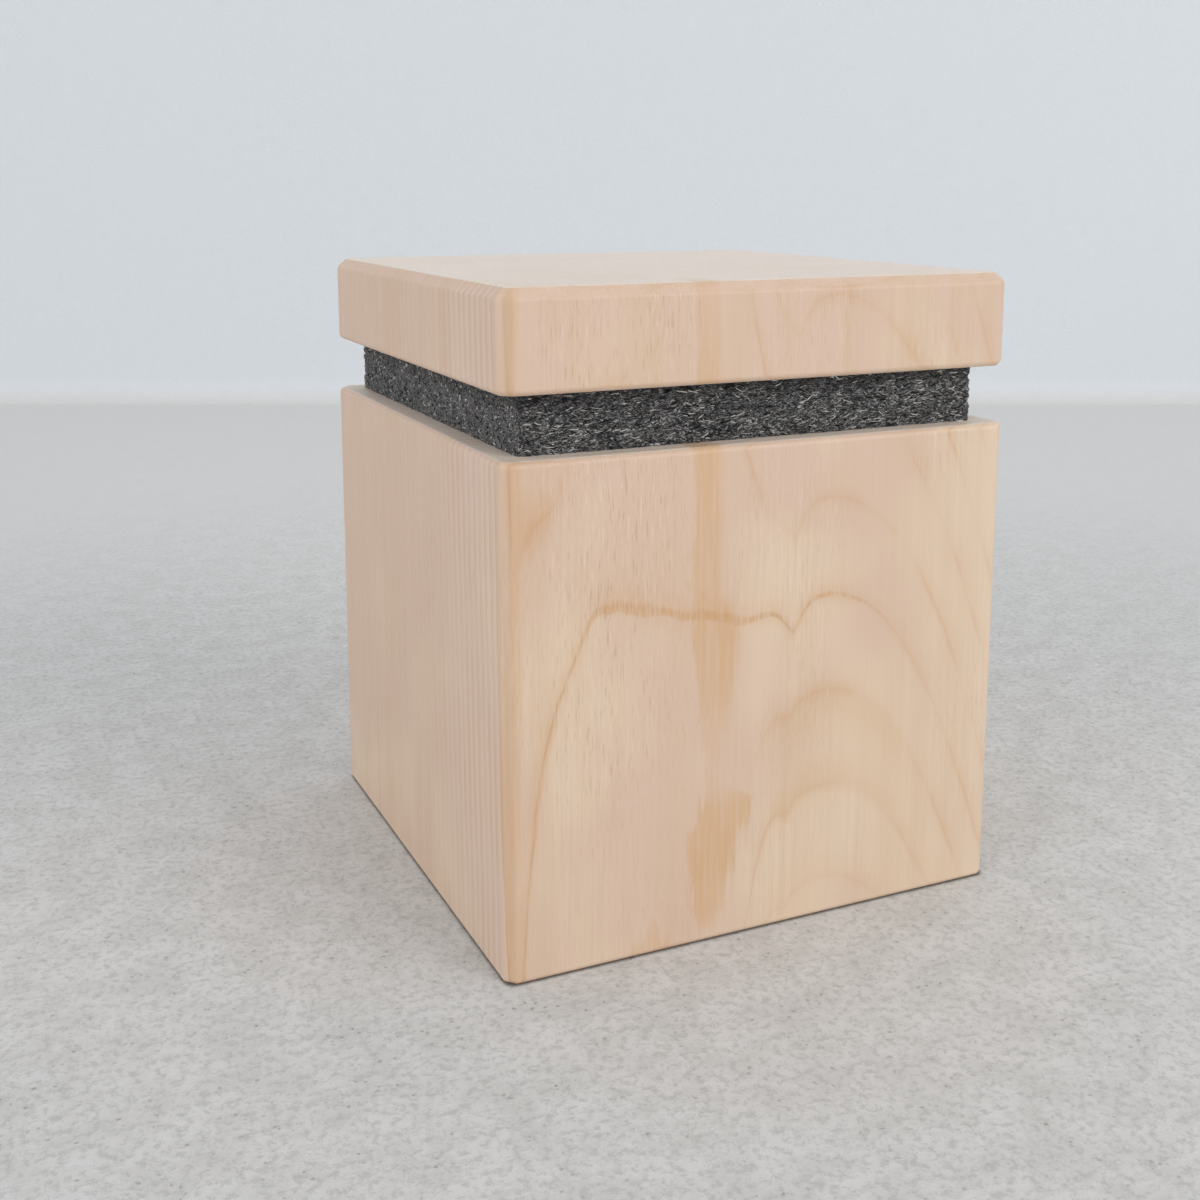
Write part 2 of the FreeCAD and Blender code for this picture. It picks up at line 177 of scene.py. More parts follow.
class Tree:
    """Adds nodes to one material. Each call returns an output socket that other calls take."""

    def __init__(self, name):
        self.material = bpy.data.materials.new(name)
        self.material.use_nodes = True
        self.nodes = self.material.node_tree.nodes
        self.links = self.material.node_tree.links
        self.shader = self.nodes["Principled BSDF"]
        coordinates = self.nodes.new("ShaderNodeTexCoord")
        self.normal = coordinates.outputs["Normal"]
        self.point = self.vector("SCALE", coordinates.outputs["Object"], scale=MM_PER_METRE)

    def feed(self, socket, value):
        """Links a socket to value, or sets it to value."""
        if isinstance(value, bpy.types.NodeSocket):
            self.links.new(value, socket)
        else:
            socket.default_value = value

    def set(self, name, value):
        """Sets or links one of the shader's own inputs."""
        self.feed(self.shader.inputs[name], value)

    def math(self, operation, *values, clamp=False):
        """One step of arithmetic on numbers or sockets."""
        node = self.nodes.new("ShaderNodeMath")
        node.operation = operation
        node.use_clamp = clamp
        for socket, value in zip(node.inputs, values):
            self.feed(socket, value)
        return node.outputs[0]

    def add(self, *values):
        """The sum of any number of values."""
        total = values[0]
        for value in values[1:]:
            total = self.math("ADD", total, value)
        return total

    def times(self, *values):
        """The product of any number of values."""
        product = values[0]
        for value in values[1:]:
            product = self.math("MULTIPLY", product, value)
        return product

    def minus(self, a, b):
        return self.math("SUBTRACT", a, b)

    def over(self, a, b):
        return self.math("DIVIDE", a, b)

    def absolute(self, value):
        return self.math("ABSOLUTE", value)

    def strongest(self, *values):
        """The largest of any number of values."""
        largest = values[0]
        for value in values[1:]:
            largest = self.math("MAXIMUM", largest, value)
        return largest

    def vector(self, operation, a, b=None, scale=None):
        """One step of arithmetic on vectors."""
        node = self.nodes.new("ShaderNodeVectorMath")
        node.operation = operation
        self.feed(node.inputs[0], a)
        if b is not None:
            self.feed(node.inputs[1], b)
        if scale is not None:
            self.feed(node.inputs["Scale"], scale)
        return node.outputs[0]

    def length(self, vector):
        """How long a vector is."""
        node = self.nodes.new("ShaderNodeVectorMath")
        node.operation = "LENGTH"
        self.feed(node.inputs[0], vector)
        return node.outputs["Value"]

    def split(self, vector):
        """A vector's X, Y and Z."""
        node = self.nodes.new("ShaderNodeSeparateXYZ")
        self.feed(node.inputs[0], vector)
        return node.outputs

    def join(self, x, y, z):
        """A vector from its X, Y and Z."""
        node = self.nodes.new("ShaderNodeCombineXYZ")
        for socket, value in zip(node.inputs, (x, y, z)):
            self.feed(socket, value)
        return node.outputs[0]

    def noise(self, vector, size, detail=2.0, roughness=0.5, distortion=0.0):
        """Noise from 0 to 1. size is how long its features are along X, Y and Z, in millimetres."""
        node = self.nodes.new("ShaderNodeTexNoise")
        self.feed(node.inputs["Vector"], self.vector("DIVIDE", vector, size))
        node.inputs["Scale"].default_value = 1.0
        node.inputs["Detail"].default_value = detail
        node.inputs["Roughness"].default_value = roughness
        node.inputs["Distortion"].default_value = distortion
        return node.outputs[0]

    def around_zero(self, value, amount):
        """A 0 to 1 value moved to run from -amount to amount."""
        return self.math("MULTIPLY_ADD", value, 2 * amount, -amount)

    def cells(self, vector, size):
        """Distance to the nearest point of a random set about size apart."""
        node = self.nodes.new("ShaderNodeTexVoronoi")
        self.feed(node.inputs["Vector"], self.vector("DIVIDE", vector, size))
        node.inputs["Scale"].default_value = 1.0
        return node.outputs["Distance"]

    def random_per(self, value):
        """A random number from 0 to 1 for each whole number."""
        node = self.nodes.new("ShaderNodeTexWhiteNoise")
        node.noise_dimensions = "1D"
        self.feed(node.inputs["W"], value)
        return node.outputs["Value"]

    def rise(self, value, start, end, low=0.0, high=1.0):
        """A smooth step from low, at start, to high, at end. start may be the larger."""
        node = self.nodes.new("ShaderNodeMapRange")
        node.interpolation_type = "SMOOTHSTEP"
        flipped = start > end
        bounds = (end, start, high, low) if flipped else (start, end, low, high)
        for socket, setting in zip(node.inputs, (value, *bounds)):
            self.feed(socket, setting)
        return node.outputs[0]

    def hill(self, value, middle, width):
        """1 at middle, falling smoothly to 0 at width from it."""
        offset = self.absolute(self.minus(value, middle))
        return self.rise(offset, width, 0.0)

    def curve(self, value, points):
        """A smooth line through (value, result) points, for results from 0 to 1."""
        low = points[0][0]
        high = points[-1][0]
        node = self.nodes.new("ShaderNodeValToRGB")
        node.color_ramp.interpolation = "EASE"
        place_stops(node.color_ramp, [((v - low) / (high - low), (g, g, g, 1)) for v, g in points])
        share = self.over(self.minus(value, low), high - low)
        self.feed(node.inputs[0], share)
        return node.outputs[0]

    def colours(self, value, stops):
        """A colour ramp from (place, colour) stops."""
        node = self.nodes.new("ShaderNodeValToRGB")
        place_stops(node.color_ramp, stops)
        self.feed(node.inputs[0], value)
        return node.outputs[0]

    def mix(self, share, a, b):
        """Colour a with that share of colour b mixed in."""
        node = self.nodes.new("ShaderNodeMix")
        node.data_type = "RGBA"
        self.feed(node.inputs[0], share)
        self.feed(node.inputs[MIX_COLOUR_A], a)
        self.feed(node.inputs[MIX_COLOUR_B], b)
        return node.outputs[MIX_COLOUR_RESULT]

    def bump(self, height, depth_mm, strength=1.0):
        """Sets the shader's normal from a height of 0 to 1 that stands for depth_mm."""
        node = self.nodes.new("ShaderNodeBump")
        node.inputs["Strength"].default_value = strength
        node.inputs["Distance"].default_value = depth_mm * MM
        self.feed(node.inputs["Height"], height)
        self.set("Normal", node.outputs[0])


def place_stops(ramp, stops):
    """Gives a new colour ramp its stops."""
    for place, colour in stops[1:-1]:
        ramp.elements.new(place).color = colour
    ramp.elements[0].position, ramp.elements[0].color = stops[0]
    ramp.elements[-1].position, ramp.elements[-1].color = stops[-1]


def dress(material, *names):
    """Gives CAD nodes a material."""
    for name in names:
        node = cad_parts[name]
        node.data.materials.clear()
        node.data.materials.append(material)


# ---------------------------------------------------------------- block wood

# Places and sizes in the figure are millimetres in the box's own frame. The front face is at FRONT_Y.
FRONT_Y = -50.0
RING_WIDTH = 2.6
MAIN_RING_HEIGHT = 61.0
CREST_X = 12.0
CREST_SPREAD = 162.0
NOTCH_X = 4.8
NOTCH_HALF_WIDTH = 5.0
CORNER_FALL_X = -34.0
CORNER_FALL_SLOPE = 0.18
LEVEL_X = -18.0
LEFT_TILT = 0.02
LONGEST_TILT = 12.0

# How dark a ring's line is, from 0 to 1, against the place in the ring, in ring widths.
CRISP_LINE = [(-0.035, 0.0), (-0.01, 0.85), (0.012, 1.0), (0.05, 0.38), (0.18, 0.12), (0.5, 0.0)]
SOFT_LINE = [
    (0.0, 1.0), (0.04, 0.60), (0.12, 0.30), (0.35, 0.06), (0.60, 0.0), (0.86, 0.10), (0.96, 0.50),
    (1.0, 1.0),
]
THIN_LINE = [(0.0, 1.0), (0.05, 0.60), (0.12, 0.0), (0.95, 0.0), (1.0, 1.0)]
RING_CLOUD = [(-2.15, 0.0), (-1.95, 0.75), (-1.6, 0.35), (-1.1, 1.0), (-0.8, 0.0)]

FIBRE_SIZE = (0.55, 0.55, 26)
PORE_SIZE = (0.26, 0.26, 3.4)
PORE_DEPTH_MM = 0.018

PINK_WOOD = rgb(223, 194, 172)
CREAM_WOOD = rgb(231, 207, 181)
BROAD_BAND = rgb(216, 184, 152)
FIBRE_LINE = rgb(205, 175, 150)
# End grain mixed with painted sheen: level faces are painted near white.
END_GRAIN_SHEEN_PALE = rgb(247, 237, 226)
END_GRAIN_SHEEN_DARK = rgb(233, 217, 201)
TAN_STAIN = rgb(215, 174, 129)
CLOUD_WOOD = rgb(216, 180, 140)
LATE_WOOD = rgb(207, 159, 108)
PALE_STRIPE = rgb(236, 215, 203)
DARK_PORE = rgb(188, 146, 108)
PALE_PORE = rgb(240, 219, 198)


def growth_rings(t):
    """Where a point lies among the growth rings, counted in rings. The boldest one is at 0.

    The rings lie almost parallel to the front face. On the front they crest at CREST_X and fall away
    to the right in a parabola. A notch parts that crest from a level stretch on the left, which falls
    steeply near the corner.
    """
    x, y, z = t.split(t.point)
    above = t.minus(z, MAIN_RING_HEIGHT)

    from_crest = t.minus(x, CREST_X)
    parabola = t.over(t.times(from_crest, from_crest), CREST_SPREAD)
    right_side = t.rise(x, NOTCH_X - 1.0, NOTCH_X + 1.0)
    tilt = t.times(t.strongest(t.add(x, -LEVEL_X), -LONGEST_TILT), LEFT_TILT)
    past_corner_fall = t.math("SMOOTH_MAX", t.minus(CORNER_FALL_X, x), 0.0, 3.0)
    corner_fall = t.times(past_corner_fall, CORNER_FALL_SLOPE)
    low_down = t.times(t.rise(z, 56.0, 44.0, 0.0, 0.3), t.rise(x, -14.0, -2.0))
    left_side = t.add(t.times(parabola, low_down), corner_fall, tilt)
    bend = t.add(t.times(parabola, right_side), t.times(left_side, t.minus(1.0, right_side)))

    across_notch = t.over(t.absolute(t.minus(x, NOTCH_X)), NOTCH_HALF_WIDTH)
    notch_shape = t.math("POWER", t.math("SUBTRACT", 1.0, across_notch, clamp=True), 2.0)
    notch = t.times(notch_shape, t.rise(z, 42.0, 54.0, 0.08, 0.55))

    slope = t.add(t.rise(x, -8.0, 2.0, 0.074, 0.146), t.rise(x, -40.0, -50.0, 0.0, -0.05))
    wander = t.add(
        t.around_zero(t.noise(t.point, (22, 60, 22), detail=2), 0.16),
        t.around_zero(t.noise(t.point, (5, 20, 5), detail=2), 0.09),
        t.around_zero(t.noise(t.point, (0.8, 4, 6), detail=1), 0.025),
    )
    back_wander = t.times(
        t.around_zero(t.noise(t.point, (45, 45, 90), detail=1), 5.0), t.rise(y, -35.0, 40.0)
    )
    depth = t.minus(y, FRONT_Y)
    offset = t.add(bend, notch, t.times(slope, above), wander, back_wander)
    return t.over(t.minus(offset, depth), RING_WIDTH)


def ring_lines(t, rings):
    """How dark the late wood is, from 0 to 1. The boldest ring is crisp and the others are soft."""
    x, y, _ = t.split(t.point)
    crisp_fading = t.times(
        t.rise(x, 30.0, 12.0, 0.30, 1.0),
        t.rise(t.noise(t.point, (0.5, 3, 9), detail=2), 0.32, 0.60, 0.50, 1.0),
    )
    crisp_line = t.times(t.curve(rings, CRISP_LINE), crisp_fading)

    place_in_ring = t.math("FRACT", rings)
    number = t.math("ROUND", rings)
    own_strength = t.rise(t.random_per(number), 0.0, 1.0, 0.30, 0.62)
    own_strength = t.strongest(own_strength, t.rise(t.absolute(rings), 2.8, 2.2, 0.0, 0.50))
    near_corner = t.times(t.rise(x, -38.0, -46.0, 0.0, 0.38), t.rise(y, -10.0, -30.0))
    own_strength = t.add(own_strength, near_corner)
    fading = t.rise(t.noise(t.point, (16, 16, 22), detail=2), 0.38, 0.60, 0.18, 1.0)
    deep = t.rise(y, -28.0, -8.0, 1.0, 0.60)
    calm = t.times(t.rise(x, 0.0, -8.0), t.rise(rings, -0.30, -0.70))
    front_only = t.times(t.rise(y, -40.0, -46.0), t.rise(x, -46.5, -43.0))
    loud = t.minus(1.0, t.times(calm, front_only))
    strength = t.times(own_strength, fading)
    soft_lines = t.times(t.times(t.curve(place_in_ring, SOFT_LINE), strength), t.times(loud, deep))

    left_side = t.times(t.rise(x, -45.0, -48.0), t.rise(y, -6.0, -34.0))
    thin_fading = t.times(left_side, t.rise(fading, 0.18, 1.0, 0.45, 1.0))
    uneven = t.rise(t.random_per(number), 0.0, 1.0, 0.20, 0.90)
    thin_lines = t.times(t.times(t.curve(place_in_ring, THIN_LINE), uneven), thin_fading)
    return t.strongest(crisp_line, soft_lines, thin_lines)


# The streak's edges, against height, are shares of STREAK_SPAN, which ends at the middle of the front.
STREAK_SPAN = 20.0
STREAK_LEFT = [
    (0, 0.40), (8, 0.22), (18, 0.15), (26, 0.32), (30, 0.38), (45, 0.28), (60, 0.22), (117, 0.22),
]
STREAK_RIGHT = [
    (0, 0.50), (8, 0.60), (18, 0.75), (25, 0.88), (30, 0.52), (42, 0.64), (56, 0.72), (64, 0.55),
    (117, 0.50),
]
# How strong the stain is in the streak, against height.
STREAK_TONE = [
    (0, 0.20), (7, 0.80), (15, 1.00), (24, 0.85), (29, 0.38), (39, 0.42), (49, 0.85), (57, 0.95),
    (65, 0.75), (78, 0.85), (90, 0.90), (117, 0.45),
]
FLAME_X = -23.0
CORNER_STRIPE_X = -48.4
CORNER_STRIPE_Y = -49.4


def tan_streaks(t):
    """How strong the tan stain is: an upright streak in the front, a small flame, and a corner stripe."""
    x, y, z = t.split(t.point)
    ragged = t.noise(t.point, (1.3, 8, 12), detail=3, roughness=0.65)
    flames = t.times(t.minus(ragged, 0.5), t.rise(z, 40.0, 26.0, 3.0, 9.0))
    place = t.add(x, flames)
    left = t.math("MULTIPLY_ADD", t.curve(z, STREAK_LEFT), STREAK_SPAN, -STREAK_SPAN)
    right = t.math("MULTIPLY_ADD", t.curve(z, STREAK_RIGHT), STREAK_SPAN, -STREAK_SPAN)
    inside = t.times(t.rise(t.minus(place, left), -0.4, 0.8), t.rise(t.minus(right, place), -0.8, 2.0))
    front_only = t.rise(y, -36.0, -46.0)
    streak = t.times(inside, t.curve(z, STREAK_TONE), front_only)

    flame_reach = t.math("MULTIPLY_ADD", t.absolute(t.add(place, -FLAME_X)), 1.6, z)
    flame = t.times(t.rise(flame_reach, 8.5, 5.0), t.times(front_only, 0.6))

    corner_x = t.add(x, -CORNER_STRIPE_X)
    corner_y = t.add(y, -CORNER_STRIPE_Y)
    reach = t.math("SQRT", t.add(t.times(corner_x, corner_x), t.times(corner_y, corner_y)))
    uneven = t.around_zero(t.noise(t.point, (1.2, 1.2, 30), detail=2), 1.6)
    stripe = t.times(t.rise(t.add(reach, uneven), 2.6, 0.9), 0.62)
    return t.strongest(streak, flame, stripe)


def end_grain_and_sheen(t, ground):
    """The cut cells of the end grain on level faces, over the wood's ground colour. They are painted paler
    than the wood, as a painted sheen: this stands in for the lid top's whitish reflection and lightens the
    ledge in the lid's shade.
    """
    level = t.rise(t.absolute(t.split(t.normal)[2]), 0.80, 0.97)
    cut_cells = t.noise(t.point, (0.6, 0.6, 9), detail=3, roughness=0.65)
    colour = t.mix(t.rise(cut_cells, 0.35, 0.70), END_GRAIN_SHEEN_PALE, END_GRAIN_SHEEN_DARK)
    # Painted sheen on the end grain: level faces take most of this pale colour.
    return t.mix(t.times(level, 0.82), ground, colour)


def wood_figure(t, ground):
    """Tan stains, growth rings and the pale stripes between them, over the ground colour."""
    x, y, _ = t.split(t.point)
    rings = growth_rings(t)
    grain = t.rise(t.noise(t.point, (0.7, 0.7, 16), detail=2), 0.30, 0.65, 0.55, 1.0)
    ground = t.mix(t.times(tan_streaks(t), grain, 0.85), ground, TAN_STAIN)
    cloud_place = t.times(t.rise(x, -3.0, 4.0), t.times(t.rise(x, 38.0, 24.0), t.rise(y, -36.0, -46.0)))
    ground = t.mix(t.times(t.curve(rings, RING_CLOUD), cloud_place, 0.34), ground, CLOUD_WOOD)
    ground = t.mix(t.times(ring_lines(t, rings), 0.76), ground, LATE_WOOD)
    left_side = t.times(t.rise(x, -48.0, -49.8), t.rise(y, -12.0, -34.0))
    stripes = t.times(left_side, t.rise(t.math("FRACT", rings), 0.35, 0.85, 0.0, 0.36))
    return t.mix(stripes, ground, PALE_STRIPE)


def block_wood():
    """Pale sanded hardwood: growth rings, tan stains, fibre lines and pores."""
    t = Tree("block_wood")
    x, _, z = t.split(t.point)
    mottle = t.noise(t.point, (26, 26, 40), detail=2)
    # Painted light: the ground turns creamier towards the lower right of the box, standing in for the light
    # thrown up from the floor.
    painted_bounce_light = t.math("MULTIPLY_ADD", t.minus(x, z), 0.0022, 0.08)
    ground = t.mix(t.rise(t.add(mottle, painted_bounce_light), 0.34, 0.66), PINK_WOOD, CREAM_WOOD)
    bands = t.noise(t.point, (4, 4, 150), detail=2)
    band_share = t.times(t.rise(bands, 0.40, 0.72), t.rise(z, 80.0, 100.0, 0.26, 0.50))
    ground = t.mix(band_share, ground, BROAD_BAND)
    fibres = t.noise(t.point, FIBRE_SIZE, detail=3, roughness=0.6)
    busy = t.rise(t.noise(t.point, (16, 16, 40), detail=1), 0.40, 0.62)
    fibre_share = t.times(t.rise(fibres, 0.38, 0.72), t.rise(busy, 0, 1, 0.08, 0.24))
    ground = t.mix(fibre_share, ground, FIBRE_LINE)
    ground = wood_figure(t, end_grain_and_sheen(t, ground))

    dashes = t.noise(t.point, PORE_SIZE, detail=1, roughness=0.4)
    high_up = t.rise(z, 22.0, 42.0, 0.35, 1.0)
    pore_places = t.times(t.add(t.times(busy, 0.40), t.times(t.hill(x, -27.0, 20.0), 0.60)), high_up)
    dark_pores = t.times(t.rise(dashes, 0.61, 0.72), pore_places)
    pale_pores = t.times(t.rise(dashes, 0.39, 0.29), pore_places)
    ground = t.mix(t.times(dark_pores, 0.50), ground, DARK_PORE)
    ground = t.mix(t.times(pale_pores, 0.45), ground, PALE_PORE)

    t.set("Base Color", ground)
    t.set("Roughness", t.rise(fibres, 0.2, 0.8, 0.42, 0.54))
    t.bump(t.minus(t.times(fibres, 0.5), t.times(dark_pores, 0.5)), PORE_DEPTH_MM, 0.8)
    return t.material


# ---------------------------------------------------------------- other woods

GRAIN_STRETCH = 14.0
FINE_FIBRE = 0.35
FINE_FIBRE_TONE = rgb(150, 112, 78)

VENEER_THICKNESS = 1.5
LOWEST_VENEER_Z = 76.4
VENEER_FIBRES = (30, 1.6, 1.6)
GLUE_LINE = rgb(112, 78, 52)


def plain_wood(name, light, dark, ring_mm, along):
    """Sanded wood of the hidden pieces. along is the direction of the grain: 0 is X and 2 is Z."""
    t = Tree(name)
    stretch = [1.0, 1.0, 1.0]
    stretch[along] = GRAIN_STRETCH
    size = [ring_mm * s for s in stretch]
    figure = t.noise(t.point, size, detail=3, roughness=0.55, distortion=0.6)
    fine = t.noise(t.point, [FINE_FIBRE * s for s in stretch], detail=2)
    colour = t.mix(t.rise(figure, 0.30, 0.72), light, dark)
    colour = t.mix(t.rise(fine, 0.50, 0.80, 0.0, 0.35), colour, FINE_FIBRE_TONE)
    t.set("Base Color", colour)
    t.set("Roughness", t.rise(fine, 0.2, 0.8, 0.50, 0.64))
    t.bump(fine, 0.03, 0.7)
    return t.material


def plywood():
    """Plywood lying flat: its face veneers run along X, and its edges show crossed layers."""
    t = Tree("plywood")
    x, y, z = t.split(t.point)
    layer = t.over(t.minus(z, LOWEST_VENEER_Z), VENEER_THICKNESS)
    crossed = t.math("MODULO", t.math("FLOOR", layer), 2.0)
    glue = t.rise(t.math("PINGPONG", layer, 0.5), 0.07, 0.0)
    turned = t.join(y, x, z)
    along_x = t.noise(t.point, VENEER_FIBRES, detail=3, roughness=0.6)
    along_y = t.noise(turned, VENEER_FIBRES, detail=3, roughness=0.6)
    veneer_x = t.mix(t.rise(along_x, 0.3, 0.7), rgb(219, 189, 148), rgb(198, 160, 117))
    veneer_y = t.mix(t.rise(along_y, 0.3, 0.7), rgb(196, 158, 116), rgb(172, 133, 94))
    edge = t.rise(t.absolute(t.split(t.normal)[2]), 0.6, 0.4)
    colour = t.mix(t.times(crossed, edge), veneer_x, veneer_y)
    colour = t.mix(t.times(glue, edge, 0.7), colour, GLUE_LINE)
    t.set("Base Color", colour)
    t.set("Roughness", t.rise(along_x, 0.2, 0.8, 0.52, 0.66))
    t.bump(along_x, 0.04, 0.6)
    return t.material


# ---------------------------------------------------------------- metals and plastic

def ground_metal(name, colour, stain, roughness, marks):
    """Bare metal with fine tool marks. marks is their size along X, Y and Z, in millimetres."""
    t = Tree(name)
    scratches = t.noise(t.point, marks, detail=3, roughness=0.6)
    clouds = t.noise(t.point, (3, 3, 3), detail=2)
    t.set("Base Color", t.mix(t.rise(clouds, 0.35, 0.75, 0.0, 0.6), colour, stain))
    t.set("Metallic", 1.0)
    t.set("Roughness", t.rise(scratches, 0.2, 0.8, roughness - 0.08, roughness + 0.12))
    t.bump(scratches, 0.008, 0.6)
    return t.material


def nylon():
    """Milky white nylon with faint turning marks."""
    t = Tree("nylon")
    x, y, z = t.split(t.point)
    radius = t.math("SQRT", t.add(t.math("POWER", x, 2.0), t.math("POWER", y, 2.0)))
    turning = t.noise(t.join(radius, 0.0, z), (0.35, 1, 2), detail=1)
    t.set("Base Color", t.mix(turning, rgb(232, 229, 219), rgb(222, 218, 205)))
    t.set("Roughness", t.rise(turning, 0.2, 0.8, 0.36, 0.48))
    t.set("Subsurface Weight", 0.15)
    t.set("Subsurface Radius", (0.002, 0.002, 0.002))
    t.bump(turning, 0.01, 0.5)
    return t.material


# ---------------------------------------------------------------- felt

FELT_TONES = [
    (0.40, rgb(7, 7, 8)), (0.475, rgb(30, 30, 32)), (0.53, rgb(88, 87, 88)),
    (0.59, rgb(150, 148, 146)), (0.66, rgb(200, 198, 194)),
]
PLAIN_FELT = rgb(58, 58, 60)
# The painted shade that the felt's sides take just under the lid's overhang.
PAINTED_SHADE_FELT = rgb(16, 16, 17)
SHADE_START_Z = 95.0
SHADE_END_Z = 99.6
STRAND_SIZE = (1.3, 0.22, 0.22)
CRUMB_SIZE = (0.40, 0.24, 0.24)


def felt_material(name, pale_share):
    """Charcoal wool felt: matted dark and grey fibres with paler ones, with painted shade on its sides just
    under the lid.
    """
    t = Tree(name)
    side_only = t.rise(t.absolute(t.split(t.normal)[2]), 0.7, 0.4)
    swirl = t.around_zero(t.noise(t.point, (1.4, 1.4, 1.4), detail=1), 1.2)
    bent = t.vector("ADD", t.point, t.join(swirl, 0.0, swirl))
    strands = t.noise(bent, STRAND_SIZE, detail=2, roughness=0.6)
    crumbs = t.noise(t.point, CRUMB_SIZE, detail=2)
    clouds = t.noise(t.point, (5, 5, 3), detail=2)
    tone = t.add(t.times(strands, 0.60), t.times(crumbs, 0.28), t.times(clouds, 0.12))
    colour = t.mix(pale_share, PLAIN_FELT, t.colours(tone, FELT_TONES))
    height = t.split(t.point)[2]
    # Painted shade: the cut sides darken towards their top, where the lid's overhang shades them.
    painted_shade = t.rise(height, SHADE_START_Z, SHADE_END_Z, 0.0, 0.55)
    t.set("Base Color", t.mix(t.times(painted_shade, side_only), colour, PAINTED_SHADE_FELT))
    t.set("Roughness", 0.95)
    t.set("Specular IOR Level", 0.15)
    t.set("Sheen Weight", 0.25)
    t.set("Sheen Roughness", 0.6)
    t.bump(tone, 0.40, 1.0)
    return t.material


def fibre_material(name, dark, pale):
    """Single wool fibres that vary in tone from one to the next."""
    t = Tree(name)
    tone = t.noise(t.point, (0.9, 0.9, 0.9), detail=1)
    t.set("Base Color", t.mix(t.rise(tone, 0.3, 0.7), dark, pale))
    t.set("Roughness", 0.8)
    t.set("Specular IOR Level", 0.25)
    return t.material


def square_ring(half, corner, count):
    """Points evenly round a square with rounded corners, with each point's outward direction."""
    straight = 2 * (half - corner)
    arc = corner * math.pi / 2
    side = straight + arc
    ring = []
    for k in range(count):
        number, along = divmod(k / count * 4 * side, side)
        turn = number * math.pi / 2
        if along < straight:
            point = Vector((half, along - straight / 2, 0))
            out = Vector((1, 0, 0))
        else:
            angle = (along - straight) / corner
            out = Vector((math.cos(angle), math.sin(angle), 0))
            point = Vector((half - corner, half - corner, 0)) + out * corner
        spin = Vector((math.cos(turn), math.sin(turn), 0))
        ring.append((turned_by(point, spin), turned_by(out, spin)))
    return ring


def turned_by(vector, spin):
    """vector turned about Z by the angle of the unit vector spin."""
    return Vector((
        vector.x * spin.x - vector.y * spin.y,
        vector.x * spin.y + vector.y * spin.x,
        vector.z,
    ))


def felt_relief(place, size, amount):
    """Smooth uneven relief at a place, between -amount and amount."""
    return amount * noise.noise(Vector((place.x / size[0], place.y / size[1], place.z / size[2])))


# The mesh stands in for the CAD band: a little smaller, so that its relief stays inside the CAD box.
BAND_LOW, BAND_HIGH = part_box("felt_band")
BAND_HALF = BAND_HIGH.x - 0.20 * MM
BAND_OPENING = 29.0 * MM
BAND_CORNER = 1.6 * MM
BAND_TOP = BAND_HIGH.z - 0.12 * MM
BAND_BOTTOM = BAND_LOW.z
BAND_EDGE = 0.5 * MM
BAND_STEPS_ROUND = 940


def band_profile():
    """(share of the way from the opening to the outer edge, height) round the band's section."""
    inner_rows, top_rows, edge_rows, outer_rows, bottom_rows = 8, 20, 4, 28, 6
    height = BAND_TOP - BAND_BOTTOM
    edge_share = BAND_EDGE / (BAND_HALF - BAND_OPENING)
    points = []
    for k in range(inner_rows):
        points.append((0.0, BAND_BOTTOM + height * k / inner_rows))
    for k in range(top_rows):
        points.append((k / top_rows * (1 - edge_share), BAND_TOP))
    for k in range(edge_rows + 1):
        angle = math.radians(90) * k / edge_rows
        share = 1 - edge_share * (1 - math.sin(angle))
        points.append((share, BAND_TOP - BAND_EDGE * (1 - math.cos(angle))))
    for k in range(1, outer_rows):
        points.append((1.0, BAND_TOP - BAND_EDGE - (height - BAND_EDGE) * k / outer_rows))
    for k in range(bottom_rows):
        points.append((1 - k / bottom_rows, BAND_BOTTOM))
    return points


def make_felt_band():
    """The thick felt ring: cut sides with matted relief, and a softer top."""
    outer = square_ring(BAND_HALF, BAND_CORNER, BAND_STEPS_ROUND)
    inner = square_ring(BAND_OPENING, BAND_CORNER, BAND_STEPS_ROUND)
    mesh = bmesh.new()
    rows = []
    for share, height in band_profile():
        row = []
        for (outer_point, out), (inner_point, _) in zip(outer, inner):
            point = inner_point.lerp(outer_point, share)
            point.z = height
            row.append(mesh.verts.new(band_surface(point, out, share)))
        rows.append(row)
    for low, high in zip(rows, rows[1:] + rows[:1]):
        for k in range(BAND_STEPS_ROUND):
            after = (k + 1) % BAND_STEPS_ROUND
            mesh.faces.new((low[k], low[after], high[after], high[k])).smooth = True
    bmesh.ops.recalc_face_normals(mesh, faces=mesh.faces)
    band = add_mesh("felt_band_cut", mesh)
    band.data.materials.append(felt_material("band_felt", 1.0))
    return band


MOST_RELIEF = 0.18
MOST_FIBRE_RELIEF = 0.16
STRAND_SIDES = 3
FIBRE_STEPS = 5
CUT_END_SHARE = 0.45


def side_waves(mm):
    """The slow unevenness of the band's cut sides, in millimetres."""
    return felt_relief(mm, (14, 14, 6), 0.20) + felt_relief(mm, (3.2, 3.2, 1.4), 0.20)


def band_surface(point, out, share):
    """A point of the band's plain section moved to where the matted felt's surface is."""
    mm = point / MM
    on_outer_side = share > 0.999
    on_top = point.z > BAND_TOP - 0.01 * MM
    if on_outer_side:
        strands = felt_relief(mm, (1.9, 0.8, 0.6), 0.42) + felt_relief(mm, (0.8, 0.5, 0.42), 0.34)
        lift = min(MOST_RELIEF, side_waves(mm) + strands - 0.06)
        return point + out * (lift * MM)
    if on_top:
        dip = felt_relief(mm, (4, 4, 4), 0.10) + felt_relief(mm, (0.9, 0.9, 0.9), 0.08) - 0.12
        return point + Vector((0, 0, dip * MM))
    return point


